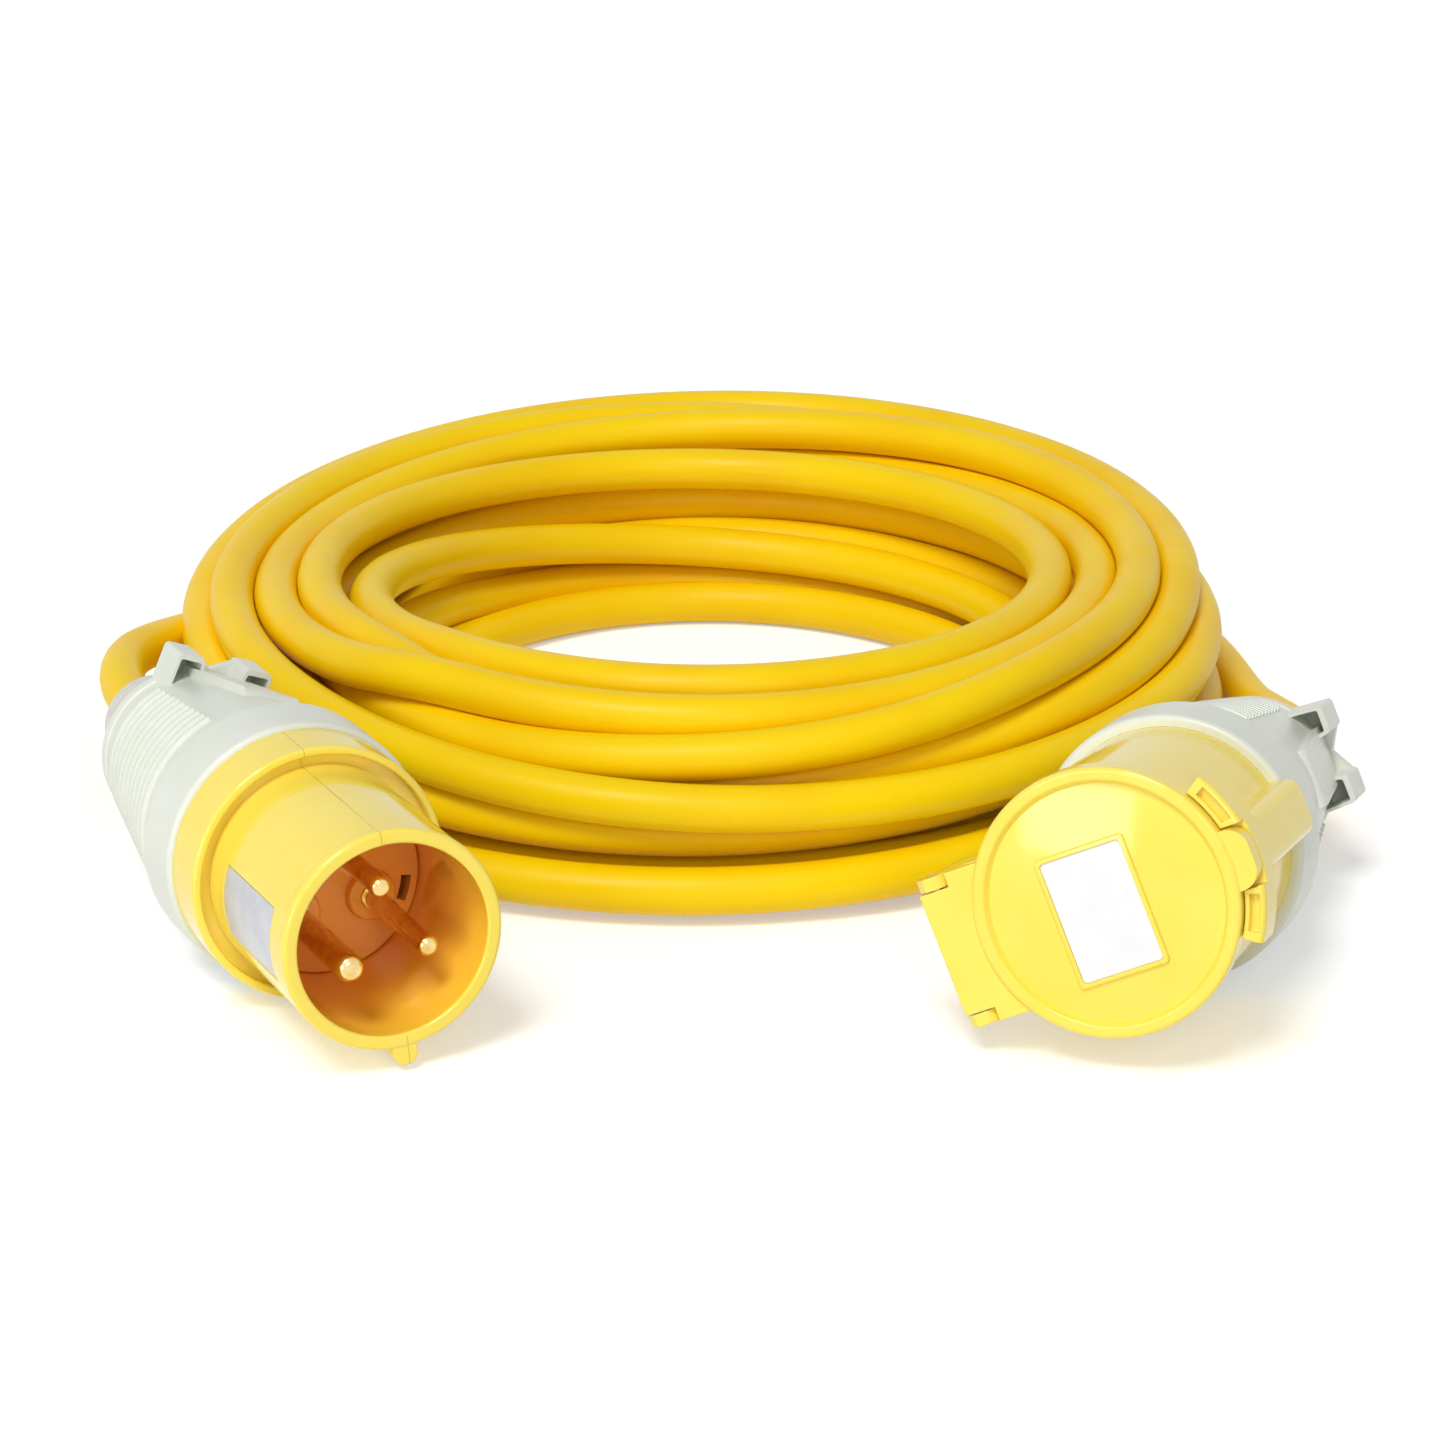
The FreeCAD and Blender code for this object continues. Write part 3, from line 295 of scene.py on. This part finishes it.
def shroud_colour_with_painted_bounce(tree, outside, orange):
    """The outside's colour, and inside the shroud painted bounce light and shade: a warmer yellow that turns
    to orange as it gets deeper.
    """
    from_mouth, out = from_axis(tree, PLUG_MOUTH, PLUG_AXIS)
    depth = add_node(tree, "ShaderNodeVectorMath", {0: from_mouth, 1: -PLUG_AXIS},
                     operation="DOT_PRODUCT").outputs["Value"]
    wall_full, wall_gone = [SHROUD_BORE_RADIUS + past for past in PAINTED_BOUNCE_WALL_FADE]
    on_wall = add_node(tree, "ShaderNodeMapRange", {
        "Value": out, "From Min": wall_gone, "From Max": wall_full})
    below_mouth = add_node(tree, "ShaderNodeMapRange", {
        "Value": depth, "From Min": PAINTED_BOUNCE_MOUTH_FADE[0], "From Max": PAINTED_BOUNCE_MOUTH_FADE[1]})
    # Mask of the painted bounce light and shade: on the bore's wall and below the mouth
    inside = add_node(tree, "ShaderNodeMath", {
        0: on_wall.outputs["Result"], 1: below_mouth.outputs["Result"]}, operation="MULTIPLY")
    # Painted bounce light and shade: warm yellow near the mouth, deepening to orange further in
    painted_bounce_deepening = add_node(tree, "ShaderNodeMapRange", {
        "Value": depth, "From Min": PAINTED_BOUNCE_DEEPENS_FROM, "From Max": SHROUD_DEPTH, "To Min": 0.15})
    deep = add_node(tree, "ShaderNodeMix", {
        "Factor": painted_bounce_deepening.outputs["Result"], MIX_LOW: linear("#FFD23A"), MIX_HIGH: orange},
        data_type="RGBA")
    return add_node(tree, "ShaderNodeMix", {
        "Factor": inside.outputs["Value"], MIX_LOW: outside, MIX_HIGH: deep.outputs[MIXED]},
        data_type="RGBA").outputs[MIXED]


def parting_line(tree, surface):
    """Normals with the fine line along the outside of the plug, where the halves of its mould met."""
    from_mouth, out = from_axis(tree, PLUG_MOUTH, PLUG_AXIS)
    beside = add_node(tree, "ShaderNodeVectorMath", {0: from_mouth, 1: PLUG_PARTING_SIDE},
                      operation="DOT_PRODUCT")
    aside = add_node(tree, "ShaderNodeMath", {0: beside.outputs["Value"]}, operation="ABSOLUTE")
    on_line = add_node(tree, "ShaderNodeMapRange", {
        "Value": aside.outputs["Value"], "From Min": PARTING_SIDE[0], "From Max": PARTING_SIDE[1],
        "To Min": 1.0, "To Max": 0.0})
    start, full = [SHROUD_BORE_RADIUS + past for past in PARTING_START]
    outside = add_node(tree, "ShaderNodeMapRange", {"Value": out, "From Min": start, "From Max": full})
    line = add_node(tree, "ShaderNodeMath", {
        0: on_line.outputs["Result"], 1: outside.outputs["Result"]}, operation="MULTIPLY")
    return add_node(tree, "ShaderNodeBump", {
        "Height": line.outputs["Value"], "Distance": PARTING_HEIGHT, "Normal": surface}).outputs["Normal"]


def domed(tree, surface):
    """Normals of the lid with its slight dome."""
    out = from_axis(tree, CONNECTOR_MOUTH, CONNECTOR_AXIS)[1]
    squared = add_node(tree, "ShaderNodeMath", {0: out, 1: out}, operation="MULTIPLY")
    height = add_node(tree, "ShaderNodeMapRange", {
        "Value": squared.outputs["Value"], "From Max": LID_DOME_RADIUS ** 2, "To Min": 1.0, "To Max": 0.0})
    return add_node(tree, "ShaderNodeBump", {
        "Height": height.outputs["Result"], "Distance": LID_DOME_HEIGHT,
        "Normal": surface}).outputs["Normal"]


# Materials, each named for what the real one is and how it was made. A pattern is written as the size of its
# features, and then its detail and its roughness where they aren't the usual ones.

def extruded_pvc_sheath(settings):
    """Soft PVC, extruded: satin, slightly uneven in tone, with a few faint scuffs from being handled."""
    material, tree = new_material("extruded_pvc_sheath")
    clean = mottled(tree, (50 * MM,), (0.4, 0.7), tuple(settings.colour), tuple(settings.shade))
    scuffs = patches(tree, (4 * MM, 6.0, 0.65), (0.68, 0.74), (0.0, 0.2))
    colour = add_node(tree, "ShaderNodeMix", {
        "Factor": scuffs, MIX_LOW: clean, MIX_HIGH: linear("#D9A008")}, data_type="RGBA").outputs[MIXED]
    sheen = patches(tree, (20 * MM, 3.0), (0.35, 0.7), (0.36, 0.46))
    skin = uneven(tree, (0.7 * MM,), 0.01 * MM)
    surface = uneven(tree, (8 * MM,), 0.1 * MM, skin)
    finish_material(tree, {"Base Color": colour, "Roughness": sheen, "IOR": 1.5, "Specular IOR Level": 0.2,
                           "Normal": surface})
    return material


def moulded_nylon(name, settings, is_shroud=False, is_lid=False):
    """Nylon, injection moulded in a polished tool: half gloss, slightly uneven, softly rounded edges."""
    material, tree = new_material(name)
    colour = mottled(tree, (20 * MM,), (0.3, 0.75), tuple(settings.yellow), linear("#FEE24E"))
    surface = add_node(tree, "ShaderNodeBevel", {"Radius": settings.edge},
                       samples=EDGE_SAMPLES).outputs["Normal"]
    # On the shroud: painted bounce light and shade inside it, and the moulded parting line
    if is_shroud:
        colour = shroud_colour_with_painted_bounce(tree, colour, tuple(settings.orange))
        surface = parting_line(tree, surface)
    if is_lid:
        surface = domed(tree, surface)
    gloss = patches(tree, (9 * MM, 3.0), (0.3, 0.7), (0.08, 0.13))
    surface = uneven(tree, (12 * MM,), 0.03 * MM, surface)
    finish_material(tree, {"Base Color": colour, "Roughness": gloss, "IOR": 1.53, "Normal": surface})
    return material


def moulded_grey_nylon(settings):
    """Nylon, moulded in a lightly textured tool: satin grey-white with a green cast in its depth."""
    material, tree = new_material("moulded_grey_nylon")
    colour = mottled(tree, (25 * MM,), (0.3, 0.75), tuple(settings.grey), linear("#DFE4D6"))
    gloss = patches(tree, (6 * MM, 4.0), (0.3, 0.7), (0.3, 0.42))
    edges = add_node(tree, "ShaderNodeBevel", {"Radius": settings.edge * GREY_EDGE_SHARE},
                     samples=EDGE_SAMPLES).outputs["Normal"]
    surface = uneven(tree, (4 * MM,), 0.01 * MM, edges)
    finish_material(tree, {"Base Color": colour, "Roughness": gloss, "IOR": 1.53, "Normal": surface})
    return material


def moulded_white_nylon():
    """Nylon, moulded and left rough for grip: matt, chalky, with shallow pits."""
    material, tree = new_material("moulded_white_nylon")
    colour = mottled(tree, (4 * MM, 4.0), (0.35, 0.7), linear("#E9E8E2"), linear("#D5D4CC"))
    pits = uneven(tree, (2.2 * MM, 4.0), 0.25 * MM)
    finish_material(tree, {"Base Color": colour, "Roughness": 0.6, "IOR": 1.53, "Normal": pits})
    return material


def machined_brass():
    """Brass, turned on a lathe: bright, very finely uneven, with light tarnish in patches."""
    material, tree = new_material("machined_brass")
    colour = mottled(tree, (4 * MM, 4.0), (0.4, 0.7), linear("#F2D898"), linear("#E2BE74"))
    gloss = patches(tree, (2 * MM, 3.0), (0.3, 0.7), (0.14, 0.22))
    surface = uneven(tree, (0.6 * MM,), 0.01 * MM)
    finish_material(tree, {"Base Color": colour, "Metallic": 1.0, "Roughness": gloss, "Normal": surface})
    return material


def zinc_plated_steel():
    """Steel, zinc plated in a barrel: pale and slightly cloudy."""
    material, tree = new_material("zinc_plated_steel")
    colour = mottled(tree, (3 * MM, 4.0), (0.35, 0.7), linear("#D3D5D6"), linear("#B4B7B8"))
    gloss = patches(tree, (1 * MM, 3.0), (0.3, 0.7), (0.22, 0.4))
    finish_material(tree, {"Base Color": colour, "Metallic": 1.0, "Roughness": gloss})
    return material


def moulded_rubber():
    """Nitrile rubber, moulded: near black and matt, with a dusty bloom."""
    material, tree = new_material("moulded_rubber")
    colour = mottled(tree, (3 * MM, 4.0), (0.45, 0.75), linear("#26272A"), linear("#3A3B3E"))
    skin = uneven(tree, (0.8 * MM, 3.0), 0.03 * MM)
    finish_material(tree, {"Base Color": colour, "Roughness": 0.7, "Normal": skin})
    return material


def label_foil(name, face, shade, roughness, metallic):
    """Laminated foil label, left bare: smooth, with a faint ripple from being pressed on."""
    material, tree = new_material(name)
    colour = mottled(tree, (8 * MM,), (0.35, 0.7), linear(face), linear(shade))
    ripple = uneven(tree, (10 * MM,), 0.03 * MM)
    finish_material(tree, {"Base Color": colour, "Roughness": roughness, "Metallic": metallic,
                           "Normal": ripple})
    return material


def extruded_core(name, face, shade):
    """PVC core insulation, extruded: smooth, with a slight uneven tone."""
    material, tree = new_material(name)
    colour = mottled(tree, (5 * MM, 3.0), (0.35, 0.7), linear(face), linear(shade))
    skin = uneven(tree, (1 * MM,), 0.02 * MM)
    finish_material(tree, {"Base Color": colour, "Roughness": 0.35, "Normal": skin})
    return material


def striped_earth_core():
    """PVC core insulation, extruded in green with yellow stripes."""
    material, tree = new_material("striped_earth_core")
    place = add_node(tree, "ShaderNodeTexCoord").outputs["Object"]
    wave = add_node(tree, "ShaderNodeTexWave", {
        "Vector": place, "Scale": WAVE_AT_SCALE_ONE / STRIPE_PITCH, "Distortion": 0.6},
        bands_direction="Z")
    stripe = add_node(tree, "ShaderNodeMapRange", {
        "Value": wave.outputs["Fac"], "From Min": 0.45, "From Max": 0.55})
    colour = add_node(tree, "ShaderNodeMix", {
        "Factor": stripe.outputs["Result"], MIX_LOW: linear("#2E8B3A"), MIX_HIGH: linear("#E8D321")},
        data_type="RGBA").outputs[MIXED]
    finish_material(tree, {"Base Color": colour, "Roughness": 0.35})
    return material


def dress(material, *names):
    """Give CAD nodes a material."""
    for name in names:
        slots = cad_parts[name].data.materials
        slots.clear()
        slots.append(material)


def ends(*names):
    """The same piece on the plug and on the connector."""
    return [side + "_" + name for side in ("plug", "connector") for name in names]


# Cable

def planned_coil():
    """Out and up of every step of the coil, smoothly from pass to pass."""
    passes = np.array([spot for turn in COIL_PASSES for spot in turn], float)
    passes[0] = passes[1]
    place = np.arange(len(COIL_PASSES) * STEPS_PER_TURN) * len(COIL_PASSES[0]) / STEPS_PER_TURN
    first = np.floor(place).astype(int)
    part = (place - first)[:, None]
    spots = [passes[np.clip(first + shift, 0, len(passes) - 1)] for shift in (-1, 0, 1, 2)]
    leave = (spots[2] - spots[0]) * PASS_EASE
    arrive = (spots[3] - spots[1]) * PASS_EASE
    return ((2 * part ** 3 - 3 * part ** 2 + 1) * spots[1] + (part ** 3 - 2 * part ** 2 + part) * leave
            + (3 * part ** 2 - 2 * part ** 3) * spots[2] + (part ** 3 - part ** 2) * arrive)


def settled_coil(plan, first, last, gap, floor):
    """Push the turns apart where they overlap, keep them smooth and above the floor."""
    turns = len(COIL_PASSES)
    laid = plan.copy()
    real = np.zeros(len(plan), bool)
    real[first:last] = True
    real = real.reshape(turns, STEPS_PER_TURN)
    pairs = real[:, None] & real[None] & ~np.eye(turns, dtype=bool)[:, :, None]
    for count in range(SETTLE_ROUNDS):
        spots = laid.reshape(turns, STEPS_PER_TURN, 2)
        apart = spots[:, None] - spots[None]
        distance = np.hypot(apart[..., 0], apart[..., 1])
        short = np.clip(gap - distance, 0, None) * pairs
        push = (apart / np.maximum(distance, SETTLE_LEAST)[..., None] * (short / 2)[..., None]).sum(1)
        share = np.sqrt(np.maximum((short > 0).sum(1), 1))[..., None]
        laid += (push / share).reshape(-1, 2)
        if count < SETTLE_ROUNDS - SETTLE_FREE_ROUNDS:
            smooth = laid.copy()
            smooth[1:-1] += SETTLE_NEAR * ((laid[:-2] + laid[2:]) / 2 - laid[1:-1])
            smooth[2:-2] += SETTLE_FAR * ((laid[:-4] + laid[4:]) / 2 - laid[2:-2])
            laid = smooth + SETTLE_BACK * (plan - smooth)
        laid[:, 1] = np.maximum(laid[:, 1], floor)
    return laid


def coil_points(diameter, slack):
    """Points of the coil from the plug's end of it to the connector's, in millimetres."""
    first = round(COIL_START * STEPS_PER_TURN)
    last = round(COIL_END * STEPS_PER_TURN)
    laid = settled_coil(planned_coil(), first, last, diameter * slack, diameter / 2)
    points = []
    for step in range(first, last):
        out, height = laid[step]
        angle = math.radians(COIL_FRONT_DEGREES - 360 * step / STEPS_PER_TURN)
        points.append((COIL_CENTRE[0] + (COIL_HALF_WIDTH + out) * math.cos(angle),
                       COIL_CENTRE[1] + (COIL_HALF_DEPTH + out) * math.sin(angle), height))
    return points


def make_cable(settings):
    """The cord's curve with its finish, from the plug's gland through the coil to the connector's."""
    diameter = settings.diameter
    points = PLUG_RUN + coil_points(diameter / MM, settings.slack) + CONNECTOR_RUN
    curve = bpy.data.curves.new("cable", "CURVE")
    curve.dimensions = "3D"
    spline = curve.splines.new("NURBS")
    spline.points.add(len(points) - 1)
    for point, spot in zip(spline.points, points):
        point.co = (spot[0] * MM, spot[1] * MM, spot[2] * MM, 1.0)
    spline.order_u = 3
    spline.use_endpoint_u = True
    spline.resolution_u = 4
    curve.bevel_depth = diameter / 2
    curve.bevel_resolution = 8
    cable = bpy.data.objects.new("cable", curve)
    bpy.context.scene.collection.objects.link(cable)
    curve.materials.append(extruded_pvc_sheath(settings))
    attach(cable, "cord_set")
    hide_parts("cord_coil", "plug_tail", "connector_tail")


# Stage

def make_camera():
    """The camera, where the photograph was taken from."""
    data = bpy.data.cameras.new("camera")
    data.sensor_width = SENSOR_WIDTH
    data.lens = CAMERA_FOCUS_PIXELS / IMAGE_PIXELS * SENSOR_WIDTH
    data.clip_end = CAMERA_REACH
    camera = bpy.data.objects.new("camera", data)
    camera.location = CAMERA_PLACE
    camera.rotation_euler = (math.pi / 2 - CAMERA_DOWN, 0, 0)
    bpy.context.scene.collection.objects.link(camera)
    bpy.context.scene.camera = camera


def add_light(name, kind, place, aim, energy):
    """A light at a place, turned to what it lights."""
    data = bpy.data.lights.new(name, kind)
    data.energy = energy
    lamp = bpy.data.objects.new(name, data)
    lamp.location = place
    lamp.rotation_euler = (Vector(aim) - Vector(place)).to_track_quat("-Z", "Y").to_euler()
    bpy.context.scene.collection.objects.link(lamp)
    return data


def make_lights(settings):
    """A wide key light from above, a soft box on the left and one beside the camera."""
    key = add_light("key_light", "SUN", KEY_PLACE, KEY_AIM, settings.sun)
    key.angle = settings.softness
    window = add_light("window_light", "AREA", WINDOW_PLACE, WINDOW_AIM, settings.window)
    window.shape = "RECTANGLE"
    window.size, window.size_y = WINDOW_SIZE
    fill = add_light("fill_light", "AREA", FILL_PLACE, FILL_AIM, settings.fill)
    fill.size = FILL_SIZE


def seen_directly(tree):
    """1 where a surface is seen, itself or in gloss or glass, and 0 where it only gives light."""
    path = add_node(tree, "ShaderNodeLightPath").outputs
    either = add_node(tree, "ShaderNodeMath", {0: path["Is Camera Ray"], 1: path["Is Glossy Ray"]},
                      operation="MAXIMUM").outputs["Value"]
    return add_node(tree, "ShaderNodeMath", {0: either, 1: path["Is Transmission Ray"]},
                    operation="MAXIMUM").outputs["Value"]


def make_sky(strength):
    """Even light, which shows as white to the camera."""
    world = bpy.data.worlds.new("studio_sky")
    world.use_nodes = True
    tree = world.node_tree
    tree.nodes.clear()
    level = add_node(tree, "ShaderNodeMapRange", {"Value": seen_directly(tree), "To Min": strength})
    sky = add_node(tree, "ShaderNodeBackground", {"Color": (1, 1, 1, 1), "Strength": level.outputs["Result"]})
    add_node(tree, "ShaderNodeOutputWorld", {"Surface": sky.outputs["Background"]})
    bpy.context.scene.world = world


def floor_paper(colour, lift):
    """Seamless studio paper: matt and white, with a very faint tooth, a little lifted where it is seen."""
    material, tree = new_material("seamless_paper")
    tooth = uneven(tree, (2 * MM,), 0.05 * MM)
    glow = add_node(tree, "ShaderNodeMapRange", {"Value": seen_directly(tree), "To Max": lift})
    finish_material(tree, {
        "Base Color": tuple(colour), "Roughness": 0.9, "Specular IOR Level": 0.1, "Normal": tooth,
        "Emission Color": (1, 1, 1, 1), "Emission Strength": glow.outputs["Result"]})
    return material


def make_floor(colour, lift):
    """The floor that the object lies on and that the camera sees all round it."""
    mesh = bpy.data.meshes.new("floor")
    shape = bmesh.new()
    bmesh.ops.create_grid(shape, x_segments=2, y_segments=2, size=FLOOR_REACH)
    bmesh.ops.translate(shape, verts=shape.verts, vec=(0, 0, -FLOOR_DROP))
    shape.to_mesh(mesh)
    shape.free()
    floor = bpy.data.objects.new("floor", mesh)
    bpy.context.scene.collection.objects.link(floor)
    mesh.materials.append(floor_paper(colour, lift))


# Operators

class MakeStage(bpy.types.Operator):
    """Camera, lamps, sky and floor"""
    bl_idname = "cord_set.make_stage"
    bl_label = "Stage"

    def execute(self, context):
        settings = context.scene.studio_settings
        make_camera()
        make_sky(settings.sky)
        make_lights(settings)
        make_floor(settings.floor, settings.lift)
        context.scene.view_settings.view_transform = "Standard"
        return {"FINISHED"}


class MakeCable(bpy.types.Operator):
    """Coiled cable with its runs to the plug and to the connector"""
    bl_idname = "cord_set.make_cable"
    bl_label = "Cable"

    def execute(self, context):
        make_cable(context.scene.cable_settings)
        dress(extruded_core("sheath_end", "#F6C010", "#EFB40A"), *ends("sheath_end"))
        return {"FINISHED"}


class DressMouldings(bpy.types.Operator):
    """Yellow fronts, grey housings and white gland nuts"""
    bl_idname = "cord_set.dress_mouldings"
    bl_label = "Mouldings"

    def execute(self, context):
        settings = context.scene.moulding_settings
        # Shroud and pin carrier: yellow nylon, with painted bounce light and shade inside the shroud
        shroud = moulded_nylon("moulded_yellow_shroud_painted_bounce", settings, is_shroud=True)
        dress(shroud, "plug_shroud", "plug_pin_carrier")
        dress(moulded_nylon("moulded_yellow_lid", settings, is_lid=True), "connector_lid")
        dress(moulded_nylon("moulded_yellow_nylon", settings), "connector_body", "connector_contact_carrier")
        dress(moulded_grey_nylon(settings), *ends("rear_housing", "cord_clamp"))
        dress(moulded_white_nylon(), *ends("gland_nut"))
        return {"FINISHED"}


class DressMetal(bpy.types.Operator):
    """Brass contacts, steel screws, hinge pin and lid spring"""
    bl_idname = "cord_set.dress_metal"
    bl_label = "Metal"

    def execute(self, context):
        brass = machined_brass()
        dress(brass, *["plug_" + pole + "_pin" for pole in ("earth", "live", "neutral")])
        dress(brass, *["connector_" + pole + "_contact" for pole in ("earth", "live", "neutral")])
        dress(zinc_plated_steel(), *ends("terminal_screws", "clamp_screws"),
              "connector_hinge_pin", "connector_lid_spring")
        return {"FINISHED"}


class DressLabelsAndInside(bpy.types.Operator):
    """Bare labels, rubber seals and coloured cores"""
    bl_idname = "cord_set.dress_labels_and_inside"
    bl_label = "Labels, seals and cores"

    def execute(self, context):
        dress(label_foil("silver_foil", "#CFD1D8", "#C3C6CE", 0.3, 0.2), "plug_label")
        dress(label_foil("white_laminate", "#F0F0F2", "#ECECEF", 0.25, 0.0), "connector_label")
        dress(moulded_rubber(), *ends("joint_seal", "gland_seal"), "connector_lid_seal")
        dress(striped_earth_core(), *ends("earth_core"))
        dress(extruded_core("brown_core", "#6B3E1E", "#5C3418"), *ends("live_core"))
        dress(extruded_core("blue_core", "#2058B0", "#1A4A98"), *ends("neutral_core"))
        return {"FINISHED"}


class CordSetPanel(bpy.types.Panel):
    """Lists the steps that build the cord set"""
    bl_idname = "VIEW3D_PT_cord_set"
    bl_label = "Shore power cord"
    bl_space_type = "VIEW_3D"
    bl_region_type = "UI"
    bl_category = "Cord set"

    def draw(self, context):
        for step in STEPS:
            self.layout.operator(step.bl_idname)


SETTINGS = {
    "cable_settings": CableSettings,
    "moulding_settings": MouldingSettings,
    "studio_settings": StudioSettings,
}
STEPS = (MakeStage, MakeCable, DressMouldings, DressMetal, DressLabelsAndInside)


def register():
    for group in SETTINGS.values():
        bpy.utils.register_class(group)
    for name, group in SETTINGS.items():
        setattr(bpy.types.Scene, name, bpy.props.PointerProperty(type=group))
    for step in STEPS:
        bpy.utils.register_class(step)
    bpy.utils.register_class(CordSetPanel)


def unregister():
    bpy.utils.unregister_class(CordSetPanel)
    for step in reversed(STEPS):
        bpy.utils.unregister_class(step)
    for name, group in reversed(list(SETTINGS.items())):
        delattr(bpy.types.Scene, name)
        bpy.utils.unregister_class(group)


def main():
    register()
    bpy.ops.cord_set.make_stage()
    bpy.ops.cord_set.make_cable()
    bpy.ops.cord_set.dress_mouldings()
    bpy.ops.cord_set.dress_metal()
    bpy.ops.cord_set.dress_labels_and_inside()


if __name__ == "__main__":
    main()
